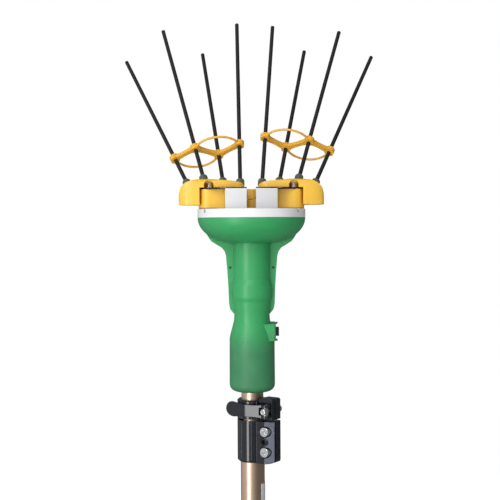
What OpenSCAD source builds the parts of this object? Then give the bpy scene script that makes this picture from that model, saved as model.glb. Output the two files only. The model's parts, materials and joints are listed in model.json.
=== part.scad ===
// Head of an electric olive harvester on the upper end of its telescopic pole.
// Origin at the centre of the outer tube's open lower end, +Z up the pole, -Y towards the front.

/* [Pole] */
// Outside diameter of the inner tube
inner_tube_d = 32; // [30:0.5:33]
// Wall of the inner tube
inner_tube_wall = 1.5; // [1:0.1:2.5]
// Radial clearance of the inner tube in the outer tube
tube_clearance = 0.15; // [0.1:0.05:0.3]
// Wall of the outer tube
outer_tube_wall = 1.35; // [1:0.05:2]
// Length of the outer tube below the clamp
pole_stub = 146; // [135:1:200]
// Depth of the open socket below the stop bead
socket_depth = 60; // [40:1:64]
// Width of the rolled stop bead
bead_w = 4; // [3:0.5:6]
// How far the bead stands into the bore
bead_in = 1.8; // [1:0.1:2.5]
// Length of the guide bush at the foot of the inner tube
guide_bush_len = 12; // [8:1:20]
// Lift of the guide bush above the stop bead
guide_bush_lift = 12; // [10:1:20]
// Thickness of the strip on the outer tube
strip_t = 0.6; // [0.4:0.1:1.2]
// Height of the strip's upper end
strip_top = 114; // [90:1:125]
// Angle that the strip covers
strip_angle = 65; // [40:5:90]

/* [Clamp] */
// Height of the clamp
clamp_h = 90; // [84:1:93]
// Wall of the clamp around the outer tube
clamp_wall = 4.5; // [3.5:0.5:6]
// Height of the slot above the foot of the clamp
clamp_slot_z = 60.5; // [58:0.5:64]
// Height of the slot that frees the upper ring
clamp_slot_h = 2.5; // [1.5:0.5:4]
// Turn of the ears from the right towards the front
clamp_turn = 36; // [25:1:45]
// Reach of the ears from the pole axis
ear_reach = 40.5; // [39:0.5:46]
// Half width of the lower ears
ear_half = 14; // [12.5:0.5:16]
// Front half width of the upper ears
upper_ear_front = 9; // [8:0.5:10]
// Rise of the upper ears above the ring
ear_rise = 3; // [1.5:0.5:3]
// Gap between the ears
ear_gap = 3; // [2:0.5:4]
// Distance of the clamp screws from the pole axis
clamp_screw_x = 30; // [28.5:0.5:31]
// Height of the lower clamp screw above the foot of the clamp
clamp_screw_z = 16.6; // [14:0.2:18]
// Distance between the two clamp screws
clamp_screw_pitch = 29.4; // [28:0.2:31]
// Head diameter of the clamp screws
clamp_screw_head_d = 14.2; // [12:0.2:14.4]
// Thread diameter of the clamp screws
clamp_screw_d = 8; // [6:0.5:9]
// Diameter of the counterbores for the clamp screws
clamp_counterbore_d = 16.6; // [15:0.2:17]
// Depth of the counterbores for the clamp screws
clamp_counterbore = 8.5; // [7.5:0.5:9]
// Thickness of the raised pad beside the clamp screws
pad_t = 0.8; // [0.5:0.1:1.2]
// Diameter of the set screw between the clamp screws
set_screw_d = 12; // [10:0.5:12]
// Thread diameter of the draw bolt
draw_bolt_d = 6; // [5:0.5:7]
// Distance of the draw bolt from the pole axis
draw_bolt_x = 35; // [33:0.5:36]
// Height of the lever's middle above the foot of the clamp
lever_z = 76.5; // [75:0.5:77]
// Thickness of the lever's band
lever_t = 5.2; // [4:0.2:6]
// Height of the lever's band at its narrowest
lever_h = 16.6; // [15:0.2:18]
// Diameter of the lever's barrel pin
barrel_d = 8; // [7:0.5:9]
// Length of the lever's straight tip
lever_tip = 28; // [22:1:34]

/* [Housing] */
// Gap between the clamp's ring and the handle
handle_gap = 11.5; // [11:0.5:20]
// Radius of the handle
handle_r = 33.1; // [31:0.1:36]
// Radius of the waist above the handle
waist_r = 25.8; // [25:0.1:27.5]
// Radius of the bulge below the neck
bulge_r = 29.8; // [28:0.1:31]
// Radius of the neck
neck_r = 26.6; // [26:0.1:28]
// Radius of the bell's rim
bell_r = 78.6; // [77.5:0.1:82]
// Wall of the housing
shell_wall = 3; // [2.4:0.1:3.4]
// Depth of the inner tube in the handle
tube_insert = 70; // [60:1:71]
// Length of the handle's straight grip
handle_len = 70.5; // [68:0.5:76]
// Thickness of each half of the side flanges
flange_t = 3; // [2:0.5:4]
// Height of the bell
bell_h = 36.5; // [35:0.5:38]
// Distance of the flange screws from the axis
flange_screw_x = 31.3; // [31:0.1:32]
// Distance of the flange screws below the bell's rim
flange_screw_drop = 73; // [68:1:78]
// Distance of the handle's screws from each end of the tube's seat
handle_screw_inset = 16; // [12:1:20]
// Thread diameter of the housing screws
shell_screw_d = 3.5; // [3:0.5:4]

/* [Power inlet] */
// Height of the inlet box
inlet_h = 24.5; // [22:0.5:26]
// Width of the inlet box from front to back
inlet_w = 45; // [40:1:48]
// How far the inlet box stands out past the handle
inlet_proud = 1.2; // [1.2:0.1:5]
// Height of the dark insert
insert_h = 11.5; // [10:0.5:14]
// Width of the dark insert
insert_w = 20; // [18:1:24]
// How far the insert stands out of the box
insert_proud = 4.8; // [3:0.2:8]

/* [Top plate] */
// Height of the plate's rim
plate_h = 12.6; // [11:0.2:14]
// Thickness of the plate's deck
deck_t = 6.6; // [5:0.2:8]
// Height of the upright blocks
block_h = 29.1; // [28:0.1:32]
// Inner edge of each block from the middle
block_in = 6.6; // [5:0.2:8]
// Outer edge of each block from the middle
block_out = 37.5; // [34:0.5:38]
// Front of the blocks from the middle
block_front = 39; // [37:0.5:42]
// Back of the blocks from the middle
block_back = 23; // [22:0.5:25]
// Thickness of the pivot straps
strap_t = 1.6; // [1.4:0.1:2.2]
// Radius of the strap's round end
strap_r = 13; // [11.5:0.5:13.5]

/* [Hands] */
// Distance of each pivot from the middle
pivot_x = 61.5; // [60:0.5:63]
// Diameter of the pivot pins
pivot_d = 12; // [10:0.5:13]
// Wall of the bushes in the hands
bush_wall = 2.5; // [1.5:0.5:3]
// Radial running clearance of pins in their bushes
running_clearance = 0.05; // [0.03:0.01:0.08]
// Radius of the pivot drum
drum_r = 15.5; // [15:0.5:17]
// Height of the hand's lobe above the top plate
lobe_lift = 6; // [5:0.2:8]
// Height of the dome above the top plate
dome_h = 43.4; // [42.5:0.1:46]
// Outer end of the hand from the middle
hand_out = 106; // [104:0.5:110]
// Inner end of the hand's deck from the middle
hand_in = 10; // [9:0.5:12]
// Front of the hand from the pivots
hand_front = 16.5; // [16:0.5:18]
// Back of the hand from the pivots
hand_back = 44; // [43:0.5:48]
// Half width of the inner arms
arm_half = 11; // [10:0.5:12]
// Swing of each hand to either side
hand_swing = 7.4; // [5:0.1:7.6]

/* [Tines] */
// Diameter of the tines
tine_d = 6; // [4:0.5:6.5]
// Length of a tine above its grommet
tine_len = 301; // [250:1:340]
// Length of the outermost tine in its socket
tine_root = 22; // [20:1:24]
// Outside diameter of the grommets
grommet_d = 12.6; // [11.5:0.1:13.5]
// Length of the grommets
grommet_len = 13; // [11:0.5:13.5]
// Way of the left link up its tines
left_link_travel = 55; // [45:1:110]
// Way of the right link up its tines
right_link_travel = 69; // [45:1:110]
// Sideways set of both links on their springy tines
link_set = 0.6; // [-1:0.1:1]
// Outer collar pitch of the links
link_pitch = 32.2; // [31:0.2:33]
// Middle collar pitch of the links
link_mid_pitch = 34.8; // [33:0.2:36]
// Distance between the two rows of collars
link_depth = 21.2; // [19:0.2:23]
// Backward tilt of the link's plane
link_tilt = 33.5; // [30:0.5:37]
// Outward tilt of the link's plane
link_roll = 6.2; // [4:0.2:9]
// Outside diameter of the collars
collar_d = 14.4; // [12:0.2:15]
// Height of the collars
collar_h = 8; // [6:0.5:10]
// Width of the zigzag ribbon at its narrowest
ribbon_w = 6.5; // [4:0.5:8]
// Height of the zigzag ribbon
ribbon_h = 5.5; // [3:0.5:6]
// Thickness of the arcs
arc_d = 3.4; // [2:0.2:4]
// Rise of the front arc
front_arc_rise = 22; // [18:1:28]
// Rise of the back arc
back_arc_rise = 26; // [20:1:32]

/* [Mechanism] */
// Throw of the crank
crank_throw = 8; // [6:0.1:8.2]
// Module of the gears
gear_module = 0.8; // [0.75:0.05:0.85]
// Teeth of the crank gear
gear_teeth = 51; // [45:3:54]
// Teeth of the motor pinion
pinion_teeth = 17; // [17:1:18]
// Width of the gears
gear_w = 7; // [6:0.5:8]
// Backlash taken off each tooth flank
gear_backlash = 0.05; // [0.03:0.01:0.1]
// Diameter of the motor
motor_d = 42; // [38:1:44]
// Length of the motor
motor_len = 66; // [55:1:68]
// Thickness of the gear plate
gear_plate_t = 5; // [4:0.5:6]
// Radius of the gear plate
gear_plate_r = 47.5; // [46:0.5:48]
// Diameter of the drive pin
drive_pin_d = 8; // [7:0.5:9]
// Distance of the guide rods from the middle
guide_x = 26; // [25:0.5:28]
// Diameter of the guide rods
guide_rod_d = 6; // [5:0.5:7]
// Outside diameter of the crank roller
roller_d = 10; // [9:0.5:11]
// Play of the crank roller in the crosshead slot
roller_play = 0.62; // [0.6:0.02:0.8]
// Outside diameter of the crank bearing
bearing_d = 16; // [15:0.5:18]
// Diameter of the crank shaft
crank_shaft_d = 8; // [6:0.5:9]

/* [Hidden] */
$fn = 64;
eps = 0.5;
seat = 0.05;
outer_bore_r = inner_tube_d / 2 + tube_clearance;
outer_tube_r = outer_bore_r + outer_tube_wall;
clamp_r = outer_tube_r + clamp_wall;
clamp_z = pole_stub;
clamp_top = clamp_z + clamp_h;
ear_top = clamp_h + ear_rise;
ear_step_x = clamp_r - 4;
pad_from = [clamp_screw_x + 0.8, -ear_half];
pad_to = [ear_reach, -ear_gap / 2 - 0.6];
clamp_seat_y = clamp_counterbore - ear_half;
tube_top = clamp_z + clamp_slot_z - 1;
inner_tube_foot = socket_depth + bead_w + guide_bush_lift;

barrel_y = upper_ear_front + barrel_d / 2 + 3.5;
barrel_at = turn_xy([draw_bolt_x, -barrel_y], -clamp_turn);
lever_mid_z = clamp_z + lever_z;
lever_r = clamp_r + 0.8 + lever_t / 2;
lever_window_r = barrel_d / 2 + 5.4;
lever_window_h = draw_bolt_d + 5;
knob_r = lever_h / 2 + 2.2;
knob_x = -28;

handle_z = clamp_top + handle_gap;
grip_top = handle_z + handle_len;
waist_z = grip_top + 40;
crease_z = waist_z + 20;
bulge_z = crease_z + 2;
bulge_top = bulge_z + 19;
neck_z = bulge_top + 13;
bell_z = neck_z + 51.5;
rim_z = bell_z + bell_h;
handle_corner = 10;
bell_reach = bell_r - neck_r;
plate_screw_at = bell_r - 9;
tube_stop_z = handle_z + tube_insert;

inlet_z = grip_top + 3.5;
inlet_mid = inlet_z + inlet_h / 2;
inlet_reach = handle_r + inlet_proud;

deck_z = rim_z + plate_h;
block_top = deck_z + block_h;
strap_z = block_top;
strap_top = strap_z + strap_t;
pivot_r = pivot_d / 2;
bush_r = pivot_r + running_clearance + bush_wall;
washer_t = 1;
drum_z = deck_z + washer_t + 0.2;
drum_top = strap_z - 0.5;
arm_mid = deck_z + 13.7;
arm_split = 0.6;
slot_top = strap_top + 0.3;
lobe_z = deck_z + lobe_lift;
dome_top = deck_z + dome_h;
pocket_r = 7.6;
pocket_arch = 7;
pocket_sill = 3.6;
hand_mid = (hand_out + hand_in) / 2;
hand_half = (hand_out - hand_in) / 2;
arm_full = arm_half + 3.4;
arm_throw = pivot_x * tan(hand_swing);
pin_slot_play = pivot_x / cos(hand_swing) - pivot_x + 0.12;
pin_play = 0.12;

tine_r = tine_d / 2;
tine_x = [97.4, 71.6, 42.8, 16.4];
tine_y = [32, 20, 32, 20];
tine_z = [42.7, 49.3, 44.9, 43.6];
root = [tine_root, tine_root - 6, tine_root - 3, tine_root - 10.5];
sleeve = [grommet_len, grommet_len, grommet_len, grommet_len - 3];
row_back = [1, -1, 1, -1];
collar_x = [link_mid_pitch / 2 + link_pitch, link_mid_pitch / 2,
            -link_mid_pitch / 2, -link_mid_pitch / 2 - link_pitch];
fan_mean = 13.6;
lean_mean = 36.6;

pitch_r = gear_module * gear_teeth / 2;
pinion_r = gear_module * pinion_teeth / 2;
crank_y = pitch_r + pinion_r;
gear_plate_z = rim_z - 24 - gear_plate_t;
guide_wall = 1.5;
gear_z = gear_plate_z + gear_plate_t + 3;
gear_top = gear_z + gear_w;
cross_z = gear_top + 2;
cross_h = 12;
guide_z = cross_z + cross_h / 2;
guide_front = -38;
guide_back = 52;
guide_block = 8;
deck_under = deck_z - deck_t;
motor_z = gear_plate_z - motor_len;
drive_pin_r = drive_pin_d / 2;

green = "#3a9459";
amber = "#f7b733";
white = "#f2f2f4";
charcoal = "#3b3b3c";
grey = "#707274";
black = "#23262e";
bronze = "#b79a80";
steel = "#c8ccd0";

function turn_xy(p, a) = [p.x * cos(a) - p.y * sin(a), p.x * sin(a) + p.y * cos(a)];
function polar(r, a) = [r * cos(a), r * sin(a)];
function unit(v) = v / norm(v);
function blend(a, b, t) = a + (b - a) * (1 - cos(180 * t)) / 2;
function swell(r0, r1, z0, z1, steps) =
    [for (i = [1:steps]) [blend(r0, r1, i / steps), z0 + (z1 - z0) * i / steps]];
function arc_points(c, r, a0, a1, steps) = [for (i = [0:steps]) c + polar(r, a0 + (a1 - a0) * i / steps)];

// Outline of a superellipse quarter from its end on the x axis to its top
function quarter(a, b, n, steps) =
    [for (i = [0:steps]) [a * pow(cos(90 * i / steps), 2 / n), b * pow(sin(90 * i / steps), 2 / n)]];

// Half section of the housing's outside from the handle's foot to the bell's rim, for a given offset inwards
function bell_points(inset) =
    [for (a = [0:16]) [neck_r + (bell_reach - inset) * sin(90 * a / 16),
        rim_z - (bell_h - inset) * cos(90 * a / 16)]];
function grip_points(inset) = concat(
    swell(handle_r - inset, waist_r - inset, grip_top, waist_z, 8),
    swell(waist_r - inset, waist_r - inset + 1.2, waist_z, crease_z - 3, 3),
    swell(waist_r - inset + 1.2, bulge_r - inset, crease_z - 3, bulge_z + 6, 5),
    [[bulge_r - inset, bulge_top]],
    swell(bulge_r - inset, neck_r - inset, bulge_top, neck_z, 6),
    [[neck_r - inset, bell_z - 1]]);
function handle_points(extra) = concat([[0, handle_z - extra]],
    arc_points([handle_r - handle_corner, handle_z + handle_corner], handle_corner + extra, -90, 0, 6),
    grip_points(-extra));

flange_foot = rim_z - 140;

// Points of the left flange from the bell down to the waist, mirrored for the right
flange_points = [[0, rim_z - 24], [-65.5, rim_z - 24], [-62.3, rim_z - 29.5], [-58.5, rim_z - 34.5],
    [-50.1, rim_z - 40], [-43.4, rim_z - 44], [-39.4, rim_z - 49.2], [-37.5, rim_z - 55.6],
    [-35.6, rim_z - 78], [-34.2, rim_z - 100], [-33.2, rim_z - 126], [-31.6, rim_z - 133.8],
    [-26.4, flange_foot], [0, flange_foot]];

// Places of the tines, the links and their collars on side -1, left, or 1, right
function tine_base(side, i) = [side * tine_x[i], tine_y[i], deck_z + tine_z[i]];
function link_normal() = [0, sin(link_tilt), cos(link_tilt)];
function link_back() = [0, cos(link_tilt), -sin(link_tilt)];
function link_out(side) = [side * cos(link_roll), 0, 0] - sin(link_roll) * link_normal();
function base_mean(side) =
    (tine_base(side, 0) + tine_base(side, 1) + tine_base(side, 2) + tine_base(side, 3)) / 4;
function mean_direction(side) = unit([side * tan(fan_mean), tan(lean_mean), 1]);
function link_travel(side) = side < 0 ? left_link_travel : right_link_travel;
function link_centre(side) = base_mean(side) + link_travel(side) * mean_direction(side) + [link_set, 0, 0];
function collar_at(side, i) =
    link_centre(side) + collar_x[i] * link_out(side) + row_back[i] * link_depth / 2 * link_back();
function tine_direction(side, i) = unit(collar_at(side, i) - tine_base(side, i));

// Puts a child that points up at a place, along a direction
module along(place, direction) {
    translate(place)
        rotate([0, acos(direction.z), atan2(direction.y, direction.x)])
            children();
}

module at_tine(side, i, way) {
    along(tine_base(side, i) + way * tine_direction(side, i), tine_direction(side, i))
        children();
}

module in_clamp() {
    translate([0, 0, clamp_z])
        rotate([0, 0, -clamp_turn])
            children();
}

module ring(r_out, r_in, h) {
    difference() {
        cylinder(r = r_out, h = h);
        translate([0, 0, -eps])
            cylinder(r = r_in, h = h + 2 * eps);
    }
}

// Cylinder along +Y from y0 to y1
module rod_y(r, y0, y1) {
    translate([0, y1, 0])
        rotate([90, 0, 0])
            cylinder(r = r, h = y1 - y0);
}

// Socket head screw with its head's seat at z = 0 and its shank down
module cap_screw(d, head_d, head_h, len, socket) {
    difference() {
        union() {
            translate([0, 0, -len])
                cylinder(r = d / 2, h = len + eps);
            cylinder(r = head_d / 2, h = head_h - 0.6);
            translate([0, 0, head_h - 0.6])
                cylinder(r1 = head_d / 2, r2 = head_d / 2 - 0.6, h = 0.6);
        }
        translate([0, 0, head_h * 0.45])
            cylinder(r = socket / 2, h = head_h, $fn = 6);
    }
}

module outer_tube() {
    color(bronze)
        difference() {
            cylinder(r = outer_tube_r, h = tube_top);
            translate([0, 0, -eps])
                cylinder(r = outer_bore_r, h = socket_depth + eps);
            cylinder(r = outer_bore_r - bead_in, h = tube_top);
            translate([0, 0, socket_depth + bead_w])
                cylinder(r = outer_bore_r, h = tube_top);
            translate([0, 0, socket_depth + bead_w / 2])
                rotate_extrude()
                    translate([outer_tube_r + 0.6, 0])
                        circle(r = bead_w / 2 - 0.4);
        }
}

module pole_strip() {
    color("#b4b4b6")
        translate([0, 0, 6])
            rotate([0, 0, -45])
                rotate_extrude(angle = strip_angle)
                    translate([outer_tube_r + 0.02, 0])
                        square([strip_t, strip_top - 6]);
}

// Side view of the ears, with their rounded foot and raised head
module ear_side(half_front, half_back) {
    foot = 5;
    translate([0, half_back, 0])
        rotate([90, 0, 0])
            linear_extrude(half_front + half_back)
                polygon(concat([[0, 0]], arc_points([ear_reach - foot, foot], foot, -90, 0, 4),
                    [[ear_reach, ear_top - 2], [ear_reach - 2, ear_top], [ear_step_x + 2, ear_top],
                        [ear_step_x, clamp_h - 0.5], [0, clamp_h - 0.5]]));
}

// Plan of the lower ears: the front one is cut back beside its screws
module lower_ear_plan() {
    polygon([[0, -ear_half], pad_from, pad_to, [ear_reach, pad_to.y + 0.3], [ear_reach, ear_half - 1],
        [ear_reach - 1, ear_half], [0, ear_half]]);
}

// Raised pad with round corners on the cut face of the front ear
module ear_pad() {
    way = pad_to - pad_from;
    corner = 3;
    z = [corner + 2.2, clamp_slot_z - 7 - corner];
    x = [corner + 0.4, norm(way) - 0.8 - corner];
    translate(concat(pad_from, [0]))
        rotate([0, 0, atan2(way.y, way.x)])
            translate([0, eps, 0])
                rotate([90, 0, 0])
                    linear_extrude(pad_t + eps)
                        polygon(concat(arc_points([x[0], z[0]], corner, 180, 270, 4),
                            arc_points([x[1], z[0]], corner, 270, 360, 4),
                            arc_points([x[1], z[1]], corner, 0, 90, 4),
                            arc_points([x[0], z[1]], corner, 90, 180, 4)));
}

module clamp_rib(a) {
    rotate([0, 0, a + clamp_turn])
        translate([clamp_r - 1, -1, 5])
            cube([1.5, 2, clamp_h - 9]);
}

module clamp_body() {
    color(black)
        in_clamp()
            difference() {
                union() {
                    cylinder(r1 = clamp_r - 2.5, r2 = clamp_r, h = 2.5);
                    translate([0, 0, 2.5])
                        cylinder(r = clamp_r, h = clamp_h - 4);
                    translate([0, 0, clamp_h - 1.5])
                        cylinder(r1 = clamp_r, r2 = clamp_r - 1.5, h = 1.5);
                    intersection() {
                        ear_side(ear_half, ear_half);
                        linear_extrude(clamp_slot_z)
                            lower_ear_plan();
                    }
                    ear_pad();
                    intersection() {
                        ear_side(upper_ear_front, ear_half - 1);
                        translate([0, -ear_reach, clamp_slot_z - eps])
                            cube([ear_reach * 2, ear_reach * 2, clamp_h]);
                    }
                    clamp_rib(-139);
                    clamp_rib(-92);
                }
                translate([0, 0, -eps])
                    cylinder(r = outer_tube_r + seat, h = clamp_slot_z + eps);
                cylinder(r = outer_bore_r + 0.05, h = ear_top + eps);
                translate([-clamp_r / 2, -ear_reach, clamp_slot_z])
                    cube([ear_reach * 2, ear_reach * 2, clamp_slot_h]);
                translate([clamp_r / 2, -ear_gap / 2, -eps])
                    cube([ear_reach, ear_gap, ear_top + 2 * eps]);
                for (i = [0, 1])
                    translate([clamp_screw_x, 0, clamp_screw_z + i * clamp_screw_pitch]) {
                        rod_y(clamp_screw_d / 2 + 0.1, -ear_half - eps, ear_half + eps);
                        rod_y(clamp_counterbore_d / 2, -ear_half - 2, clamp_seat_y);
                    }
                translate([clamp_screw_x - 1, 0, clamp_screw_z + clamp_screw_pitch / 2])
                    rod_y(set_screw_d / 2 + seat, -ear_half - 2, -ear_gap / 2 - 1);
                translate([draw_bolt_x, 0, lever_z])
                    rod_y(draw_bolt_d / 2 + 0.2, -ear_half - eps, ear_half + eps);
            }
}

module clamp_screws() {
    color(steel)
        in_clamp()
            for (i = [0, 1])
                translate([clamp_screw_x, clamp_seat_y, clamp_screw_z + i * clamp_screw_pitch])
                    rotate([90, 0, 0])
                        cap_screw(clamp_screw_d, clamp_screw_head_d, clamp_counterbore + 0.5,
                            ear_half - clamp_seat_y - 0.5, 6.9);
}

module clamp_set_screw() {
    color(charcoal)
        in_clamp()
            translate([clamp_screw_x - 1, 0, clamp_screw_z + clamp_screw_pitch / 2])
                difference() {
                    union() {
                        rod_y(set_screw_d / 2, 1 - ear_half, -ear_gap / 2 - 1.2);
                        translate([0, 1 - ear_half, 0])
                            rotate([90, 0, 0])
                                cylinder(r1 = set_screw_d / 2, r2 = set_screw_d / 2 - 1, h = 1);
                    }
                    translate([0, 7 - ear_half, 0])
                        rotate([90, 0, 0])
                            cylinder(r = set_screw_d * 0.35, h = 8, $fn = 6);
                }
}

module draw_bolt() {
    color(steel)
        in_clamp()
            translate([draw_bolt_x, 0, lever_z]) {
                rod_y(draw_bolt_d / 2, -barrel_y - barrel_d / 2 - 3, ear_half);
                translate([0, ear_half - 0.9, 0])
                    rotate([-90, 0, 0])
                        difference() {
                            cylinder(r = 5, h = 4.6);
                            translate([0, 0, 2])
                                cylinder(r = 2.5, h = 5, $fn = 6);
                        }
                translate([0, -barrel_y - barrel_d / 2 - 0.1, 0])
                    rotate([90, 0, 0])
                        rotate_extrude()
                            polygon(concat([[draw_bolt_d / 2 - 0.2, 0], [4.8, 0], [4.8, 1.6]],
                                arc_points([2.8, 1.6], 2, 0, 90, 4), [[draw_bolt_d / 2 - 0.2, 3.6]]));
            }
}

module lever_barrel() {
    color(steel)
        translate([barrel_at.x, barrel_at.y, lever_mid_z])
            rotate([0, 0, -clamp_turn])
                difference() {
                    cylinder(r = barrel_d / 2, h = lever_h + 1, center = true);
                    rod_y(draw_bolt_d / 2 + 0.1, -barrel_d, barrel_d);
                }
}

// Front view of the lever: a waisted band that ends in a round knob
function lever_half(x) = lever_h / 2 + 2.2 * pow((x + 4) / 24, 2);
lever_view_from = -26;
lever_view_to = 34;
lever_view = concat(
    [for (x = [lever_view_to:-4:lever_view_from]) [x, min(lever_half(x), knob_r)]],
    arc_points([knob_x, 0], knob_r, 90, 270, 10),
    [for (x = [lever_view_from:4:lever_view_to]) [x, -min(lever_half(x), knob_r)]]);

// Plan of the lever's band: from the barrel it runs round the ring's circle and leaves it straight
lever_a0 = atan2(barrel_at.y, barrel_at.x) - acos(lever_r / norm(barrel_at));
lever_a1 = lever_a0 - 22;
function lever_side(off) = concat(
    [barrel_at + polar(off, lever_a0)],
    [for (i = [0:6]) polar(lever_r + off, lever_a0 + (lever_a1 - lever_a0) * i / 6)],
    [polar(lever_r + off, lever_a1) + lever_tip * [sin(lever_a1), -cos(lever_a1)]]);

module clamp_lever() {
    color(black)
        translate([0, 0, lever_mid_z])
            difference() {
                union() {
                    intersection() {
                        translate([0, 0, -knob_r * 2])
                            linear_extrude(knob_r * 4)
                                polygon(concat(lever_side(lever_t / 2),
                                    [for (i = [8:-1:0]) lever_side(-lever_t / 2)[i]]));
                        translate([0, ear_reach * 2, 0])
                            rotate([90, 0, 0])
                                linear_extrude(ear_reach * 4)
                                    polygon(lever_view);
                    }
                    translate(concat(barrel_at + turn_xy([0, 0.6], -clamp_turn), [-lever_h / 2 - 1]))
                        cylinder(r = barrel_d / 2 + 2.6, h = lever_h + 2);
                }
                translate(concat(barrel_at, [-lever_window_h / 2]))
                    cylinder(r = lever_window_r, h = lever_window_h);
                translate(concat(barrel_at, [-knob_r * 2]))
                    cylinder(r = barrel_d / 2 + running_clearance, h = knob_r * 4);
            }
}

module inner_tube() {
    color(bronze)
        translate([0, 0, inner_tube_foot])
            ring(inner_tube_d / 2, inner_tube_d / 2 - inner_tube_wall, tube_stop_z - inner_tube_foot);
}

module guide_bush() {
    color(charcoal)
        translate([0, 0, inner_tube_foot - 2]) {
            ring(inner_tube_d / 2 + tube_clearance - 0.05, inner_tube_d / 2 - inner_tube_wall - 1.5, 2);
            ring(inner_tube_d / 2 - inner_tube_wall - seat, inner_tube_d / 2 - inner_tube_wall - 1.5,
                guide_bush_len);
        }
}

module housing_solid(extra) {
    rotate_extrude()
        polygon(concat(handle_points(extra), bell_points(-extra), [[0, rim_z]]));
}

module flange_plate() {
    for (s = [0, 1])
        mirror([s, 0, 0])
            translate([0, flange_t, 0])
                rotate([90, 0, 0])
                    linear_extrude(2 * flange_t)
                        polygon(flange_points);
}

module handle_bosses() {
    intersection() {
        housing_solid(0);
        for (x = [-1, 1], z = [handle_z + handle_screw_inset, tube_stop_z - handle_screw_inset])
            translate([x * (inner_tube_d / 2 + 7), 0, z])
                rod_y(4.5, -handle_r, handle_r);
    }
}

module bell_bosses() {
    intersection() {
        housing_solid(0);
        for (a = [40, 140, 220, 320])
            rotate([0, 0, a])
                translate([plate_screw_at, 0, rim_z - 16])
                    cylinder(r = 4.5, h = 16);
    }
}

module housing_cavity() {
    for (z = [handle_z + 6, handle_z + 29, handle_z + 50])
        translate([0, 0, z])
            ring(handle_r - shell_wall, inner_tube_d / 2 + 3, 17);
    rotate_extrude()
        polygon(concat([[0, tube_stop_z + 3], [handle_r - shell_wall, tube_stop_z + 3]],
            grip_points(shell_wall), bell_points(shell_wall),
            [[bell_r - shell_wall, rim_z + eps], [0, rim_z + eps]]));
}

// Both halves of the housing in one, for a given side of the parting plane
module housing_half(side) {
    color(green)
        difference() {
            union() {
                difference() {
                    union() {
                        housing_solid(0);
                        flange_plate();
                    }
                    housing_cavity();
                }
                handle_bosses();
                bell_bosses();
            }
            translate([-2 * bell_r, side > 0 ? -4 * bell_r : 0, 0])
                cube([4 * bell_r, 4 * bell_r, 2 * rim_z]);
            translate([0, 0, handle_z - eps])
                cylinder(r = inner_tube_d / 2 + seat, h = tube_insert + eps);
            translate([0, 0, handle_z])
                cylinder(r = inner_tube_d / 2 - 2, h = tube_insert + 20);
            translate([15, -insert_w / 2 - 0.3, inlet_mid - insert_h / 2 - 0.3])
                cube([30, insert_w + 0.6, insert_h + 0.6]);
            for (p = shell_screw_places())
                translate([p.x, 0, p.y]) {
                    rod_y(shell_screw_d / 2 + 0.05, -8, handle_r);
                    rod_y(3.6, p.z, handle_r * 2);
                }
            for (a = [40, 140, 220, 320])
                rotate([0, 0, a])
                    translate([plate_screw_at, 0, rim_z - 12])
                        cylinder(r = 1.8, h = 13);
        }
}

// Places of the housing's screws: across, up, and the depth of the head's seat
function shell_screw_places() = [
    for (x = [-1, 1], z = [handle_z + handle_screw_inset, tube_stop_z - handle_screw_inset])
        [x * (inner_tube_d / 2 + 7), z, inner_tube_d / 2],
    for (x = [-1, 1]) [x * flange_screw_x, rim_z - flange_screw_drop, flange_t]];

module front_shell() housing_half(-1);

module rear_shell() housing_half(1);

module housing_screws() {
    color(steel)
        for (p = shell_screw_places())
            translate([p.x, p.z, p.y])
                rotate([-90, 0, 0])
                    cap_screw(shell_screw_d, 6.6, 3, p.z + (p.z > 5 ? 7 : flange_t), 2.9);
}

module inlet_housing() {
    color(green)
        difference() {
            translate([0, 0, inlet_z])
                linear_extrude(inlet_h)
                    polygon([[8, -inlet_w / 2], [inlet_reach - 2, -inlet_w / 2],
                        [inlet_reach, -inlet_w / 2 + 2],
                        [inlet_reach, inlet_w / 2 - 2], [inlet_reach - 2, inlet_w / 2], [8, inlet_w / 2]]);
            housing_solid(0.15);
            translate([15, -insert_w / 2 - 0.3, inlet_mid - insert_h / 2 - 0.3])
                cube([30, insert_w + 0.6, insert_h + 0.6]);
            for (z = [inlet_z - eps, inlet_z + inlet_h - 1.6])
                translate([inlet_reach - 1, -9.2, z])
                    cube([2, 18.4, 1.6 + eps]);
        }
}

module inlet_insert() {
    color(black)
        difference() {
            translate([20, -insert_w / 2, inlet_mid - insert_h / 2])
                cube([inlet_reach + insert_proud - 20, insert_w, insert_h]);
            translate([inlet_reach + insert_proud - 12, -insert_w / 2 + 2, inlet_mid - insert_h / 2 + 2])
                cube([20, insert_w - 4, insert_h - 4]);
            for (y = [-5.5, 5.5])
                translate([19, y - 0.5, inlet_mid - 2])
                    cube([12, 1, 4]);
        }
}

module inlet_contacts() {
    color("goldenrod")
        for (y = [-5.5, 5.5])
            translate([20, y - 0.45, inlet_mid - 1.95])
                cube([inlet_reach + insert_proud - 26.5, 0.9, 3.9]);
}

// Thin spring clip that flares outwards at its tip
module inlet_latch() {
    translate([0, 9, 0])
        rotate([90, 0, 0])
            linear_extrude(18)
                polygon([[inlet_reach - 0.95, -0.25], [inlet_reach, -0.25], [inlet_reach + 3, 1.7],
                    [inlet_reach + 2.6, 2.5], [inlet_reach - 0.2, 1], [inlet_reach - 0.95, 1]]);
}

module inlet_latches() {
    color(charcoal) {
        translate([0, 0, inlet_z + inlet_h - 1.3])
            inlet_latch();
        translate([0, 0, inlet_z + 1.3])
            mirror([0, 0, 1])
                inlet_latch();
    }
}

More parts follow.
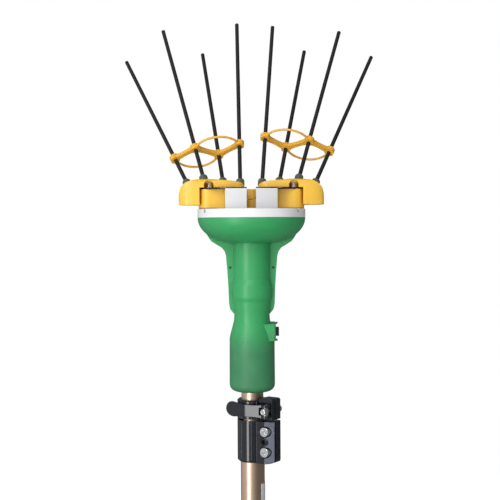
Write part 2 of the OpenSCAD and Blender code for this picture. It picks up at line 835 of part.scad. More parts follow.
// Two leads from the inlet's contacts to the motor's terminals
module motor_leads() {
    color("#b02a2a")
        for (y = [-5.5, 5.5])
            translate([0, y, 0]) {
                translate([13, 0, inlet_mid])
                    rotate([0, 90, 0])
                        cylinder(r = 1.5, h = 6.9);
                translate([13, 0, inlet_mid + 6])
                    rotate([90, 0, 0])
                        rotate([0, 0, 180])
                            rotate_extrude(angle = 90)
                                translate([6, 0])
                                    circle(r = 1.5);
                translate([7, 0, inlet_mid + 6])
                    cylinder(r = 1.5, h = motor_z - 5 - inlet_mid - 6);
            }
}

module block_plan() {
    intersection() {
        translate([block_in, -block_front])
            square([block_out - block_in, block_front - block_back]);
        translate([0, 3 * block_front])
            circle(r = 4 * block_front);
    }
}

// One upright block with a rounded outer edge
module upright_block() {
    intersection() {
        translate([0, 0, deck_z - eps])
            linear_extrude(block_h + eps)
                block_plan();
        rotate([90, 0, 0])
            linear_extrude(2 * block_front)
                polygon(concat([[block_in - 1, deck_z - 2], [block_out, deck_z - 2]],
                    arc_points([block_out - 1, block_top - 1], 1, 0, 90, 3), [[block_in - 1, block_top]]));
    }
}

module top_plate() {
    color(white)
        difference() {
            union() {
                difference() {
                    translate([0, 0, rim_z])
                        rotate_extrude()
                            polygon([[0, 0], [bell_r, 0], [bell_r, plate_h - 1], [bell_r - 1, plate_h],
                                [0, plate_h]]);
                    translate([0, 0, rim_z - eps])
                        cylinder(r = bell_r - 6.6, h = plate_h - deck_t + eps);
                }
                difference() {
                    translate([0, 0, rim_z - 5])
                        ring(bell_r - 4.8, bell_r - 6.6, 5 + eps);
                    for (a = [40, 140, 220, 320])
                        rotate([0, 0, a])
                            translate([plate_screw_at, 0, rim_z - 6])
                                cylinder(r = 6, h = 6);
                }
                for (s = [-1, 1])
                    translate([s * pivot_x, 0, rim_z])
                        cylinder(r = 10, h = plate_h);
                for (s = [0, 1])
                    mirror([s, 0, 0])
                        upright_block();
            }
            for (s = [-1, 1]) {
                translate([s * pivot_x, 0, rim_z - eps])
                    cylinder(r = 5 + seat, h = plate_h + 2 * eps);
                translate([s * (block_in + block_out) / 2, -(block_front + block_back) / 2, block_top - 12])
                    cylinder(r = 2.5, h = 13);
                translate([s * 66, -44.6, deck_z - 2.4])
                    cube([2.6, 12, 6], center = true);
            }
            translate([0, 0, rim_z - eps])
                ring(bell_r - 1, bell_r - 2.6, 1.6 + eps);
            for (a = [40, 140, 220, 320])
                rotate([0, 0, a])
                    translate([plate_screw_at, 0, rim_z - eps]) {
                        cylinder(r = 2.1, h = plate_h + 2 * eps);
                        translate([0, 0, plate_h - 3.6 + eps])
                            cylinder(r = 3.9, h = 5);
                    }
            translate([-drive_pin_r - 0.6, -arm_throw - drive_pin_r - 0.8, deck_under - eps])
                cube([2 * drive_pin_r + 1.2, 2 * (arm_throw + drive_pin_r + 0.8), deck_t + 2 * eps]);
        }
}

module rim_gasket() {
    color(charcoal)
        translate([0, 0, rim_z])
            ring(bell_r - 1 - seat, bell_r - 2.6 + seat, 1.6);
}

module plate_screws() {
    color(steel)
        for (a = [40, 140, 220, 320])
            rotate([0, 0, a])
                translate([plate_screw_at, 0, deck_z - 3.5])
                    cap_screw(3.5, 7, 3.4, 18, 3);
}

module motor() {
    color("#8d9196")
        translate([0, 0, motor_z])
            difference() {
                union() {
                    rotate_extrude()
                        polygon([[0, 0], [motor_d / 2 - 2, 0], [motor_d / 2, 2], [motor_d / 2, motor_len],
                            [0, motor_len]]);
                    translate([0, 0, -3])
                        cylinder(r = 8, h = 4);
                    for (y = [-5.5, 5.5])
                        translate([6.5, y - 1.5, -4.6])
                            cube([1, 3, 5]);
                    translate([0, 0, motor_len - eps])
                        cylinder(r = 6.5, h = 3 + eps);
                }
                translate([0, 0, motor_len - 30])
                    cylinder(r = 2.5 + running_clearance, h = 40);
                for (s = [-1, 1])
                    translate([s * 14.5, 0, motor_len - 6])
                        cylinder(r = 2, h = 7);
                for (a = [45:90:315])
                    rotate([0, 0, a])
                        translate([motor_d / 2 - 1.5, -4, 8])
                            cube([4, 8, 10]);
            }
}

module motor_screws() {
    color(steel)
        for (s = [-1, 1])
            translate([s * 14.5, 0, gear_plate_z + gear_plate_t - 3])
                cap_screw(3.9, 7, 3, gear_plate_t + 1, 3);
}

module gear_plate() {
    color("#aeb3b8")
        translate([0, 0, gear_plate_z])
            difference() {
                cylinder(r = gear_plate_r, h = gear_plate_t);
                translate([0, 0, -eps])
                    cylinder(r = 6.5 + seat, h = gear_plate_t + 2 * eps);
                translate([0, crank_y, -eps])
                    cylinder(r = bearing_d / 2 + seat, h = gear_plate_t + 2 * eps);
                for (s = [-1, 1])
                    translate([s * 14.5, 0, -eps]) {
                        cylinder(r = 2.1, h = gear_plate_t + 2 * eps);
                        translate([0, 0, gear_plate_t - 3 + eps])
                            cylinder(r = 3.7, h = 5);
                    }
                for (x = [-40, 40], y = [-20, 20])
                    translate([x, y, -eps])
                        cylinder(r = 2.1, h = gear_plate_t + 2 * eps);
            }
}

module standoffs() {
    color(steel)
        for (x = [-40, 40], y = [-20, 20])
            translate([x, y, gear_plate_z]) {
                translate([0, 0, gear_plate_t])
                    cylinder(r = 3.5, h = deck_under - gear_plate_z - gear_plate_t);
                cylinder(r = 2, h = gear_plate_t + eps);
            }
}

// Ball bearing: outer ring, inner ring and the balls in their groove
module crank_bearing() {
    mid = (bearing_d + crank_shaft_d) / 4;
    land = (bearing_d - crank_shaft_d) / 12;
    ball_r = 1.6 * land;
    color(steel)
        translate([0, crank_y, gear_plate_z])
            difference() {
                union() {
                    ring(bearing_d / 2, mid + land, gear_plate_t);
                    ring(mid - land, crank_shaft_d / 2 + 0.03, gear_plate_t);
                }
                translate([0, 0, gear_plate_t / 2])
                    rotate_extrude()
                        translate([mid, 0])
                            circle(r = ball_r + 0.1);
            }
    color(steel)
        translate([0, crank_y, gear_plate_z + gear_plate_t / 2])
            for (a = [0:45:315])
                rotate([0, 0, a])
                    translate([mid, 0, 0])
                        sphere(r = ball_r);
}

module guide_rods() {
    color(steel)
        for (s = [-1, 1])
            translate([s * guide_x, 0, guide_z])
                rod_y(guide_rod_d / 2, guide_front, guide_back);
}

module guide_blocks() {
    color("#aeb3b8")
        for (s = [-1, 1], y = [guide_front, guide_back - guide_block])
            difference() {
                translate([s * guide_x - 7, y, cross_z])
                    cube([14, guide_block, deck_under - cross_z]);
                translate([s * guide_x, 0, guide_z])
                    rod_y(guide_rod_d / 2 + 0.02, guide_front - eps, guide_back + eps);
            }
}

module pivot_pins() {
    color(steel)
        for (s = [-1, 1])
            translate([s * pivot_x, 0, 0])
                difference() {
                    union() {
                        translate([0, 0, deck_z])
                            cylinder(r = pivot_r, h = strap_z - deck_z);
                        translate([0, 0, rim_z - 9])
                            cylinder(r = 5, h = plate_h + 9 + eps);
                    }
                    translate([0, 0, strap_z - 16])
                        cylinder(r = 3, h = 17);
                }
}

module pivot_nuts() {
    color(steel)
        for (s = [-1, 1])
            translate([s * pivot_x, 0, rim_z - 8])
                difference() {
                    cylinder(r = 8.8, h = 8, $fn = 6);
                    translate([0, 0, -eps])
                        cylinder(r = 5.02, h = 9);
                }
}

module thrust_washers() {
    color(black)
        for (s = [-1, 1])
            translate([s * pivot_x, 0, deck_z])
                ring(drum_r - 0.5, pivot_r + 0.1, washer_t);
}

// Tangent from a point to the strap's round end, on one side of the line to its middle
function strap_tangent(p, r, way) =
    let (v = p - [pivot_x, 0], a = atan2(v.y, v.x) + way * acos(r / norm(v))) [pivot_x, 0] + polar(r, a);

module strap_plan(r) {
    grow = r - strap_r;
    front = [block_out + grow, -block_front - grow];
    back = [block_in - grow, -block_back + grow];
    union() {
        translate([pivot_x, 0])
            circle(r = r);
        polygon([strap_tangent(front, r - 0.01, 1), front, [block_in - grow, -block_front - grow], back,
            strap_tangent(back, r - 0.01, -1), [pivot_x, 0]]);
    }
}

module pivot_straps() {
    color(black)
        for (s = [0, 1])
            mirror([s, 0, 0])
                difference() {
                    translate([0, 0, strap_z])
                        linear_extrude(strap_t)
                            intersection() {
                                strap_plan(strap_r);
                                translate([0, 3 * block_front])
                                    circle(r = 4 * block_front + 0.2);
                            }
                    translate([pivot_x, 0, strap_z - eps])
                        cylinder(r = 3.2, h = strap_t + 2 * eps);
                    translate([(block_in + block_out) / 2, -(block_front + block_back) / 2, strap_z - eps]) {
                        cylinder(r = 2.6, h = strap_t + 2 * eps);
                        translate([0, 0, eps])
                            cylinder(r1 = 2.6, r2 = 4.8, h = strap_t + 0.1);
                    }
                }
}

module pivot_screws() {
    color(steel)
        for (s = [-1, 1])
            translate([s * pivot_x, 0, strap_top]) {
                ring(6, 3.1, 1.2);
                translate([0, 0, 1.2])
                    cap_screw(5.9, 10, 6.4, 15, 5);
            }
}

module strap_screws() {
    color(steel)
        for (s = [-1, 1])
            translate([s * (block_in + block_out) / 2, -(block_front + block_back) / 2, strap_z]) {
                difference() {
                    union() {
                        translate([0, 0, -11])
                            cylinder(r = 2.4, h = 11 + eps);
                        cylinder(r1 = 2.45, r2 = 4.5, h = strap_t);
                    }
                    translate([0, 0, strap_t - 1.5])
                        cylinder(r = 1.7, h = 3, $fn = 6);
                }
            }
}

module crosshead() {
    ear = guide_rod_d / 2 + 5;
    color("#9da2a8")
        translate([0, 0, cross_z])
            difference() {
                union() {
                    translate([-guide_x - ear, -12, 0])
                        cube([2 * (guide_x + ear), 24, cross_h]);
                    translate([-18, -12, 0])
                        cube([36, 12 + crank_y + roller_d / 2 + 6.5, cross_h - 2]);
                }
                for (s = [-1, 1])
                    translate([s * guide_x, 0, cross_h / 2])
                        rod_y(guide_rod_d / 2 + guide_wall, -13, 13);
                translate([0, 0, -eps])
                    cylinder(r = drive_pin_r + 0.02, h = cross_h + 2 * eps);
                translate([-14.2, crank_y - roller_d / 2 - roller_play, -eps])
                    cube([28.4, roller_d + 2 * roller_play, cross_h + 2 * eps]);
            }
}

module crosshead_bushes() {
    color("#b98b4a")
        for (s = [-1, 1])
            translate([s * guide_x, -12, cross_z + cross_h / 2])
                rotate([-90, 0, 0])
                    ring(guide_rod_d / 2 + guide_wall - 0.02, guide_rod_d / 2 + 0.04, 24);
}

module drive_pin() {
    color(steel)
        translate([0, 0, cross_z])
            cylinder(r = drive_pin_r, h = drum_top - cross_z);
}

module slot_cover() {
    color(charcoal)
        translate([0, 0, cross_z + cross_h])
            difference() {
                translate([-11, -arm_throw * 2 - drive_pin_r - 3, 0])
                    cube([22, 4 * arm_throw + 2 * drive_pin_r + 6, deck_under - cross_z - cross_h - 0.3]);
                translate([0, 0, -eps])
                    cylinder(r = drive_pin_r + 0.02, h = 12);
            }
}

// Half angle of a tooth at radius r, from the involute of its base circle
function involute(a) = tan(a) * 180 / PI - a;
function tooth_half(r, teeth) =
    let (pr = gear_module * teeth / 2, rb = pr * cos(20), a = r > rb ? acos(rb / r) : 0)
    90 / teeth - gear_backlash / pr * 180 / PI + involute(20) - involute(a);
function tooth_points(teeth) =
    let (pr = gear_module * teeth / 2, root = pr - 1.25 * gear_module, tip = pr + gear_module, steps = 4)
    [for (i = [0:teeth - 1], side = [-1, 1], k = [0:steps])
        let (j = side < 0 ? k : steps - k, r = root + (tip - root) * j / steps)
        polar(r, 360 / teeth * i + side * tooth_half(r, teeth))];

module gear(teeth) {
    linear_extrude(gear_w)
        polygon(tooth_points(teeth));
}

module crank_gear() {
    color(steel)
        translate([0, crank_y, gear_z])
            difference() {
                union() {
                    rotate([0, 0, -90])
                        gear(gear_teeth);
                    translate([0, 0, -2.7])
                        cylinder(r = 5.2, h = 3);
                }
                translate([0, 0, -3])
                    cylinder(r = crank_shaft_d / 2, h = gear_w + 4);
                translate([crank_throw, 0, -eps])
                    cylinder(r = 2.5, h = gear_w + 2 * eps);
                for (a = [60:60:300])
                    rotate([0, 0, a])
                        translate([13.2, 0, -eps])
                            cylinder(r = 3.2, h = gear_w + 2 * eps);
            }
}

module crank_shaft() {
    color(steel)
        translate([0, crank_y, gear_plate_z])
            cylinder(r = crank_shaft_d / 2 - 0.01, h = gear_top - gear_plate_z);
}

module crank_pin() {
    color(steel)
        translate([crank_throw, crank_y, gear_z])
            cylinder(r = 2.48, h = cross_z + cross_h - 2 - gear_z);
}

module crank_roller() {
    color(grey)
        translate([crank_throw, crank_y, cross_z - 1])
            ring(roller_d / 2, 2.5, cross_h - 1);
}

module motor_pinion() {
    color(steel)
        translate([0, 0, gear_z])
            difference() {
                rotate([0, 0, 90 + 180 / pinion_teeth])
                    gear(pinion_teeth);
                translate([0, 0, -eps])
                    cylinder(r = 2.52, h = gear_w + 2 * eps);
            }
}

module motor_shaft() {
    color(steel)
        translate([0, 0, gear_plate_z - 28])
            cylinder(r = 2.5, h = gear_top - gear_plate_z + 28);
}

// Inner half of the hand's crown: it falls gently from its middle to a blunt end
function hand_crown() =
    let (drop = 16.4, fall = 4.9)
    [for (i = [1:12]) let (p = quarter(hand_half, drop, 8, 12)[12 - i])
        [hand_mid - p.x, dome_top - drop + p.y - fall * pow(p.x / hand_half, 1.5)]];

// Front view of a hand's domed body, built on the right side
function hand_view() = concat(
    [[hand_mid, lobe_z]],
    [for (p = quarter(hand_half, dome_top - lobe_z, 3.6, 12)) [hand_mid + p.x, lobe_z + p.y]],
    hand_crown(), [[hand_in, lobe_z]]);

// Plan of a hand, deeper at the back than at the front
function hand_plan() = concat(
    [for (p = quarter(hand_half, hand_back, 3, 10)) [hand_mid + p.x, p.y]],
    [for (i = [1:10]) let (p = quarter(hand_half, hand_back, 3, 10)[10 - i]) [hand_mid - p.x, p.y]],
    [for (i = [1:10]) let (p = quarter(hand_half, hand_front, 3, 10)[i]) [hand_mid - p.x, -p.y]],
    [for (i = [1:9]) let (p = quarter(hand_half, hand_front, 3, 10)[10 - i]) [hand_mid + p.x, -p.y]]);

// Side view of a hand: rounded at its front and falling away behind the pivot, square to the tines
function hand_side() =
    let (edge = 6, flat = 8, fall = 13, run = hand_back - flat, r = (run * run + fall * fall) / (2 * fall))
    concat([[-hand_front - 1, lobe_z - 1]], [[-hand_front, dome_top - edge - 4]],
        arc_points([edge - hand_front, dome_top - edge], edge, 180, 90, 5),
        arc_points([flat, dome_top - r], r, 90, 90 - asin(run / r), 8), [[hand_back + 1, lobe_z - 1]]);

module hand_dome() {
    intersection() {
        translate([hand_in - 5, 0, 0])
            rotate([90, 0, 90])
                linear_extrude(hand_out - hand_in + 10)
                    polygon(hand_side());
        translate([0, 0, lobe_z])
            linear_extrude(dome_top - lobe_z + 1)
                polygon(hand_plan());
        translate([0, hand_back + 5, 0])
            rotate([90, 0, 0])
                linear_extrude(hand_back + hand_front + 10)
                    polygon(hand_view());
    }
}

// Space under the deck where the arm, the strap and the other hand's arm move
module hand_clearance() {
    translate([-30, -hand_front - 10, deck_z - 10])
        cube([30 + pivot_x, hand_front + 10 + strap_r + 0.3, slot_top - deck_z + 10]);
    translate([-30, -hand_front - 10, deck_z - 10])
        cube([46, 80, slot_top - deck_z + 10]);
    translate([pivot_x, -hand_front - 10, deck_z - 10])
        cube([strap_r + 0.4, hand_front + 10, slot_top - deck_z + 10]);
    translate([pivot_x, 0, deck_z - 10])
        cylinder(r = strap_r + 0.7, h = slot_top - deck_z + 10);
}

module arm(upper) {
    translate([0, 0, drum_z])
        linear_extrude(drum_top - drum_z)
            polygon([[arm_full, -arm_half], [block_out - 8, -arm_half - 1.5], [pivot_x - 3, 0.1 - drum_r],
                [pivot_x, 0], [pivot_x, arm_half], [arm_full, arm_half]]);
    half_z = upper ? arm_mid + arm_split / 2 : drum_z;
    half_h = upper ? drum_top - arm_mid - arm_split / 2 : arm_mid - arm_split / 2 - drum_z;
    translate([0, 0, half_z])
        linear_extrude(half_h)
            polygon(concat([[arm_full + 1, -arm_half]], arc_points([0, 0], arm_half, 270, 90, 12),
                [[arm_full + 1, arm_half]]));
}

// Moulded hollow under the outer lobe
module lobe_hollow() {
    translate([hand_out - 24, -hand_front + 7, lobe_z - 1])
        cube([18, hand_front + 22, 15]);
}

// The drum, its web to the back wall and the inner arm
module hub(upper) {
    translate([pivot_x, 0, drum_z])
        cylinder(r = drum_r, h = drum_top - drum_z);
    translate([pivot_x - 26, 0, drum_z])
        cube([38, hand_back - 6, drum_top - drum_z]);
    arm(upper);
}

// Slot for the drive pin; its ends are arcs of 16 sides around the pin
module pin_slot() {
    r = drive_pin_r + pin_play + 0.01;
    translate([0, 0, deck_z - 10])
        linear_extrude(60)
            polygon(concat(arc_points([pin_slot_play, 0], r, -90, 90, 16),
                arc_points([-pin_slot_play, 0], r, 90, 270, 16)));
}

// Well over the pivot screw, with an arched window to the front
module screw_pocket(side) {
    translate([side * pivot_x, 0, slot_top - 1]) {
        cylinder(r = pocket_r, h = 30);
        translate([0.1 - pocket_arch, -hand_front - 5, 0])
            cube([2 * pocket_arch - 0.2, hand_front + 5, pocket_sill + 1]);
        translate([0, 0, pocket_sill + 1])
            rod_y(pocket_arch, -hand_front - 5, 0);
    }
}

// A hand on side -1 or 1; its body is drawn on the right and mirrored for the left
module hand(side) {
    color(amber)
        difference() {
            union() {
                mirror([side < 0 ? 1 : 0, 0, 0]) {
                    difference() {
                        hand_dome();
                        hand_clearance();
                        lobe_hollow();
                    }
                    hub(side < 0);
                }
            }
            translate([side * pivot_x, 0, deck_z - 5])
                cylinder(r = bush_r + 0.02, h = drum_top - deck_z + 6);
            screw_pocket(side);
            pin_slot();
            for (i = [0:3]) {
                at_tine(side, i, -root[i])
                    cylinder(r = tine_r + 0.02, h = root[i] + 10);
                at_tine(side, i, -sleeve[i])
                    cylinder(r = grommet_d / 2 + seat, h = sleeve[i] + 6);
            }
        }
}

module left_hand() hand(-1);

module right_hand() hand(1);

module bushes(side) {
    half = (drum_top - drum_z) / 2 - 1;
    color("#b98b4a")
        for (z = [drum_z, drum_top - half])
            translate([side * pivot_x, 0, z])
                ring(bush_r, pivot_r + running_clearance, half);
}

module left_bushes() bushes(-1);

module right_bushes() bushes(1);

// Grommets: a straight sleeve with a domed top
module grommets(side) {
    color(grey)
        for (i = [0:3])
            at_tine(side, i, -sleeve[i])
                rotate_extrude()
                    polygon(concat([[tine_r + 0.02, 0], [grommet_d / 2, 0], [grommet_d / 2, sleeve[i] - 3.5]],
                        [for (k = [1:5]) [grommet_d / 2 - (grommet_d / 2 - tine_r - 1) * (1 - cos(18 * k)),
                            sleeve[i] - 3.5 + 3.5 * sin(18 * k)]],
                        [[tine_r + 0.02, sleeve[i]]]));
}

module left_grommets() grommets(-1);

module right_grommets() grommets(1);

module tine(side, i) {
    color(charcoal)
        at_tine(side, i, -root[i])
            rotate_extrude()
                polygon([[0, 0], [tine_r, 0], [tine_r, root[i] + tine_len - 0.8],
                    [tine_r - 0.8, root[i] + tine_len], [0, root[i] + tine_len]]);
}

module left_tine_1() tine(-1, 0);

module left_tine_2() tine(-1, 1);

module left_tine_3() tine(-1, 2);

module left_tine_4() tine(-1, 3);

module right_tine_1() tine(1, 0);

module right_tine_2() tine(1, 1);

module right_tine_3() tine(1, 2);

module right_tine_4() tine(1, 3);

// Waisted band between two collars in the link's plane
module ribbon(p, q) {
    v = q - p;
    len = norm(v);
    end_w = collar_d - 3;
    steps = 6;
    half = [for (i = [0:steps]) (ribbon_w + (end_w - ribbon_w) * pow(2 * i / steps - 1, 2)) / 2];
    translate([p.x, p.y, -ribbon_h / 2])
        rotate([0, 0, atan2(v.y, v.x)])
            linear_extrude(ribbon_h)
                polygon(concat([for (i = [0:steps]) [len * i / steps, half[i]]],
                    [for (i = [steps:-1:0]) [len * i / steps, -half[i]]]));
}

// Thin arc between two collars of one row, bulging by rise towards way
module link_arc(x0, x1, y, rise, way) {
    half = (x1 - x0) / 2;
    r = (half * half + rise * rise) / (2 * rise);
    reach = asin(half / r);
    sweep = rise > half ? 180 - reach : reach;
    translate([(x0 + x1) / 2, y + way * (rise - r), 0])
        rotate([0, 0, (way > 0 ? 90 : -90) - sweep])
            rotate_extrude(angle = 2 * sweep)
                translate([r, 0])
                    circle(r = arc_d / 2);
}

// Links: collars on the tines, a zigzag ribbon and one arc on each side
module link(side) {
    spots = [for (i = [0:3]) [side * collar_x[i], row_back[i] * link_depth / 2]];
    color(amber)
        difference() {
            union() {
                translate(link_centre(side))
                    rotate([-link_tilt, 0, 0])
                        rotate([0, side * link_roll, 0]) {
                            for (i = [0:2])
                                ribbon(spots[i], spots[i + 1]);
                            link_arc(min(spots[1].x, spots[3].x), max(spots[1].x, spots[3].x),
                                -link_depth / 2, front_arc_rise, -1);
                            link_arc(min(spots[0].x, spots[2].x), max(spots[0].x, spots[2].x),
                                link_depth / 2, back_arc_rise, 1);
                        }
                for (i = [0:3])
                    along(collar_at(side, i), tine_direction(side, i))
                        cylinder(r = collar_d / 2, h = collar_h, center = true);
            }
            for (i = [0:3])
                along(collar_at(side, i), tine_direction(side, i))
                    cylinder(r = tine_r + 0.02, h = collar_h * 2, center = true);
        }
}

module left_link() link(-1);

module right_link() link(1);

outer_tube();
pole_strip();
clamp_body();
clamp_screws();
clamp_set_screw();
draw_bolt();
lever_barrel();
clamp_lever();
inner_tube();
guide_bush();
front_shell();
rear_shell();
housing_screws();
inlet_housing();
inlet_insert();
inlet_contacts();
inlet_latches();
motor_leads();
top_plate();
rim_gasket();
plate_screws();
motor();
motor_screws();
gear_plate();
standoffs();
crank_bearing();
guide_rods();
guide_blocks();
pivot_pins();
pivot_nuts();
thrust_washers();
pivot_straps();
pivot_screws();
strap_screws();
crosshead();
crosshead_bushes();
drive_pin();
slot_cover();
crank_gear();
crank_shaft();
crank_pin();
crank_roller();
motor_pinion();
motor_shaft();
left_hand();
left_bushes();
left_grommets();
left_tine_1();
left_tine_2();
left_tine_3();
left_tine_4();
left_link();
right_hand();
right_bushes();
right_grommets();
right_tine_1();
right_tine_2();
right_tine_3();
right_tine_4();
right_link();
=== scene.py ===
import json
import math

import bmesh
import bpy
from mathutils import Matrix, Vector

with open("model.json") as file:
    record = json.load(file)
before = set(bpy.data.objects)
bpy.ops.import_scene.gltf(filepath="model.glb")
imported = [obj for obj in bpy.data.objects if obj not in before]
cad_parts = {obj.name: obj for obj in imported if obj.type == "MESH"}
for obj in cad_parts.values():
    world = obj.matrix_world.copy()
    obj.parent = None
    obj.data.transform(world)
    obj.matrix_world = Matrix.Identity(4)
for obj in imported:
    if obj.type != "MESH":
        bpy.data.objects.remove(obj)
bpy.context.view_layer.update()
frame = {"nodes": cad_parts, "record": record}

# The photo's camera, fitted to the frame, in metres and radians
CAMERA_AT = (0, -1.5, 0.489)
CAMERA_ROLL = 0.00535
CAMERA_CLIP = (0.01, 20)

# Its lens and sensor in millimetres, and its shift in shares of the picture's width
CAMERA_LENS = 73.97
CAMERA_SENSOR = 36
CAMERA_SHIFT = (-0.003, -0.05)

# The room's light: the way to its bright side, the cosines to that way between which it rises, and its
# dim and its bright level
ROOM_COLOUR = (0.98, 0.99, 1, 1)
ROOM_BRIGHT_SIDE = (-0.85, -0.50, 0.15)
ROOM_RISE = (-0.2, 0.75)
ROOM_LEVELS = (0.13, 0.52)
WHITE = (1, 1, 1, 1)

# Each lamp's name, place, target, width and height, watts, and whether it shows in reflections
LAMPS = (
    ("left_strip", (-0.90, -1.20, 0.45), (0, 0, 0.4), (0.42, 2.2), 15, True),
    ("front_softbox", (-0.30, -1.35, 1.60), (0, 0, 0.45), (1.1, 0.7), 6, True),
    ("front_fill", (-0.1, -1.6, 0.30), (0, 0, 0.4), (1, 1), 7, False),
    ("right_fill", (1.15, -1.1, 0.7), (0, 0, 0.4), (1, 1), 3, False),
    ("back_fill", (0.4, 1.5, 0.9), (0, 0, 0.4), (1, 1), 12, False),
)

# The floor: its disc, how far it lies under the pole's end, its colour, the glow that the camera sees on
# top of its own light, and the distances between which it fades to white
FLOOR_RADIUS = 1.6
FLOOR_SIDES = 128
FLOOR_DROP = 0.0005
FLOOR_COLOUR = (0.7, 0.7, 0.7, 1)
FLOOR_GLOW = 0.65
FLOOR_FADE = (0.25, 0.8)

# Depths of the fine relief, in metres
PLASTIC_GRAIN = 0.000004
METAL_GRAIN = 0.000001
RUBBER_GRAIN = 0.00001
ROD_GRAIN = 0.0000003

# Radii to which the normals of hard edges are rounded, in metres
METAL_EDGE = 0.0002
RUBBER_EDGE = 0.0004

# Rounded edges: rays for each, and the cosines of the turn of their normal from none to full wear
EDGE_RAYS = 6
EDGE_WEAR = (0.95, 0.6)

# Painted shade in corners: rays for each, how far they look, and the open shares from none to full shade
CORNER_RAYS = 8
CORNER_REACH = 0.007
CORNER_SHADE = (0.7, 0.15)

# The cut pad on the clamp's front ear: the way that it faces, and how near to it a normal has to point
PAD_WAY = (0.2557, -0.9668, 0)
PAD_NEARNESS = (0.9998, 0.99995)

# Stretches of height with a colour, roughness and grain of their own, in metres: the grip, a darker green
# with deeper grain, and the plate's blocks, whose grey is painted shade
GRIP = {"low": 0.205, "high": 0.338, "soft": 0.035,
        "colour": (0.042, 0.225, 0.095), "roughness": 0.5, "grain": 0.00003}
SHADED_BLOCKS = {"low": 0.5128, "high": 0.56, "soft": 0.0004,
          "colour": (0.66, 0.66, 0.67), "roughness": 0.42, "grain": 0.00001}

# What each material is made with, by its slot's name; amber_link is the links' finer grade of
# amber_plastic, and the colour that some give their corners is painted shade
PLASTICS = {
    "green_plastic": {"colour": (0.036, 0.345, 0.11), "roughness": 0.36, "shade_in_corners": (0.01, 0.13, 0.045),
                      "zone": GRIP},
    "amber_plastic": {"colour": (0.90, 0.53, 0.055), "roughness": 0.3, "radius": 0.0005, "edge": 1.05,
                      "spread": 0.04, "shade_in_corners": (0.50, 0.20, 0.008)},
    "amber_link": {"colour": (0.86, 0.45, 0.04), "roughness": 0.34, "radius": 0.0002, "edge": 1.02,
                   "spread": 0.04},
    "white_plastic": {"colour": (0.81, 0.81, 0.815), "roughness": 0.38, "edge": 1.05, "spread": 0.02,
                      "shade_in_corners": (0.40, 0.40, 0.41), "zone": SHADED_BLOCKS},
    "dark_plastic": {"colour": (0.02, 0.02, 0.022), "roughness": 0.45, "radius": 0.0005, "edge": 1.8},
    "red_cover": {"colour": (0.4, 0.02, 0.02), "roughness": 0.4},
    "roller_plastic": {"colour": (0.3, 0.3, 0.31), "roughness": 0.45},
    "pale_strip": {"colour": (0.6, 0.6, 0.62), "roughness": 0.4, "radius": 0.0002},
}
METALS = {
    "bronze": {"colour": (0.90, 0.66, 0.49), "roughness": 0.36, "lines": (1, 1, 0.02)},
    "screw_steel": {"colour": (0.90, 0.90, 0.92), "roughness": 0.22, "lines": (1, 1, 1)},
    "bright_steel": {"colour": (0.88, 0.86, 0.80), "roughness": 0.33, "lines": (0.1, 0.1, 1)},
    "motor_can": {"colour": (0.42, 0.43, 0.45), "roughness": 0.35, "lines": (0.1, 0.1, 1)},
    "grey_alloy": {"colour": (0.60, 0.62, 0.64), "roughness": 0.32, "lines": (0.1, 1, 1)},
    "bush_brass": {"colour": (0.62, 0.42, 0.18), "roughness": 0.35, "lines": (0.1, 0.1, 1)},
    "contact_brass": {"colour": (0.85, 0.62, 0.25), "roughness": 0.2, "lines": (1, 0.1, 1)},
}
COATED = {
    "black_metal": {"colour": (0.006, 0.008, 0.013), "roughness": 0.11, "worn": (0.10, 0.11, 0.13),
                    "radius": 0.0011, "ior": 1.62,
                    "satin": {"way": PAD_WAY, "colour": (0.16, 0.175, 0.22), "roughness": 0.4}},
    "black_steel": {"colour": (0.02, 0.02, 0.022), "roughness": 0.4, "worn": (0.2, 0.2, 0.2)},
    "latch_metal": {"colour": (0.03, 0.03, 0.033), "roughness": 0.3, "worn": (0.2, 0.2, 0.2)},
}
RUBBERS = {
    "gasket_rubber": {"colour": (0.02, 0.02, 0.02)},
    "grommet_rubber": {"colour": (0.10, 0.11, 0.08)},
}
RODS = {
    "tine_rod": {"colour": (0.021, 0.021, 0.021)},
}


def make_camera():
    data = bpy.data.cameras.new("camera")
    data.lens = CAMERA_LENS
    data.sensor_width = CAMERA_SENSOR
    data.shift_x, data.shift_y = CAMERA_SHIFT
    data.clip_start, data.clip_end = CAMERA_CLIP
    camera = bpy.data.objects.new("camera", data)
    camera.location = CAMERA_AT
    camera.rotation_euler = (math.pi / 2, CAMERA_ROLL, 0)
    bpy.context.collection.objects.link(camera)
    bpy.context.scene.camera = camera


def make_lamp(name, place, target, size, power, reflected):
    data = bpy.data.lights.new(name, "AREA")
    data.shape = "RECTANGLE"
    data.size, data.size_y = size
    data.energy = power
    lamp = bpy.data.objects.new(name, data)
    lamp.location = place
    lamp.rotation_euler = (Vector(target) - Vector(place)).to_track_quat("-Z", "Y").to_euler()
    lamp.visible_glossy = reflected
    bpy.context.collection.objects.link(lamp)


